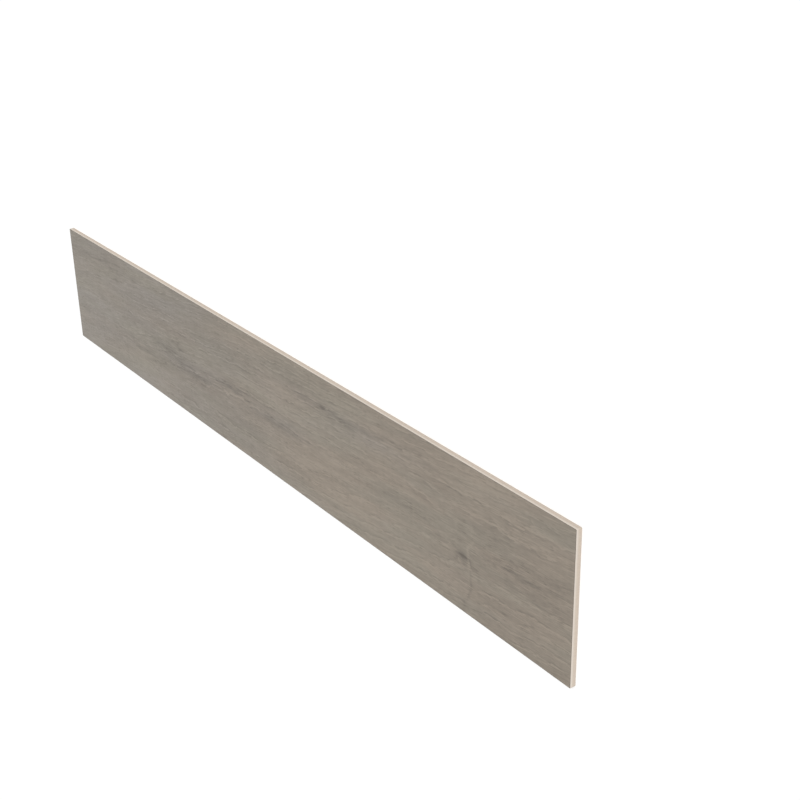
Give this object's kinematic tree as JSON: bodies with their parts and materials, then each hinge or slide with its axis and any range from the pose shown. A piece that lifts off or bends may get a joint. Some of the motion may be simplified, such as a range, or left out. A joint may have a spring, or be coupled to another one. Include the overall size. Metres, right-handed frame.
{
  "type": "stair riser board",
  "caption": "Flat rectangular board with a grey oak decor face, square sawn edges and a plain back, which covers the upright face of a stair step.",
  "frame": {"origin": "centre of the back face, which lies on the floor", "axes": "+X along the board's length, +Y to the long edge that goes under the tread above, +Z out of the decor face"},
  "size_m": [1.3, 0.2, 0.008],
  "materials": {
    "oak_decor_board": "matte"
  },
  "bodies": {
    "root": {"riser_board": "oak_decor_board"}
  },
  "joints": []
}
